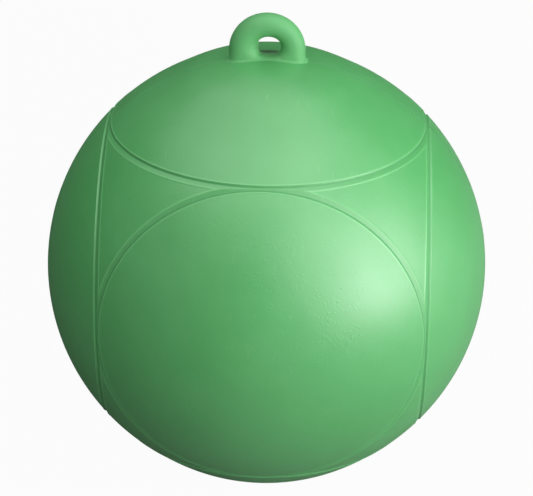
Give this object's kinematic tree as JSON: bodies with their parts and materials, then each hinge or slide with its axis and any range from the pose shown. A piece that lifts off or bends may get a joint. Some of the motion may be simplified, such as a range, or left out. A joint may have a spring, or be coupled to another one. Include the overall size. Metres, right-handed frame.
{
  "type": "slalom buoy",
  "caption": "Inflatable vinyl ball with round panels parted by moulded grooves, a solid rope eye on its crown and a flush screw-plug inflation valve opposite.",
  "frame": {"origin": "centre of the ball, on the water plane of the buoy as it rides moored, about half sunk", "axes": "+Z from the ball's centre through the rope eye, +Y along the eye's hole"},
  "size_m": [0.216, 0.216, 0.2384],
  "materials": {
    "green_vinyl": "satin moulded flexible vinyl",
    "valve_plastic": "fine-grained moulded nylon"
  },
  "bodies": {
    "root": {"ball_shell": "green_vinyl", "rope_eye": "green_vinyl", "valve_body": "valve_plastic", "valve_plug": "valve_plastic"}
  },
  "joints": []
}
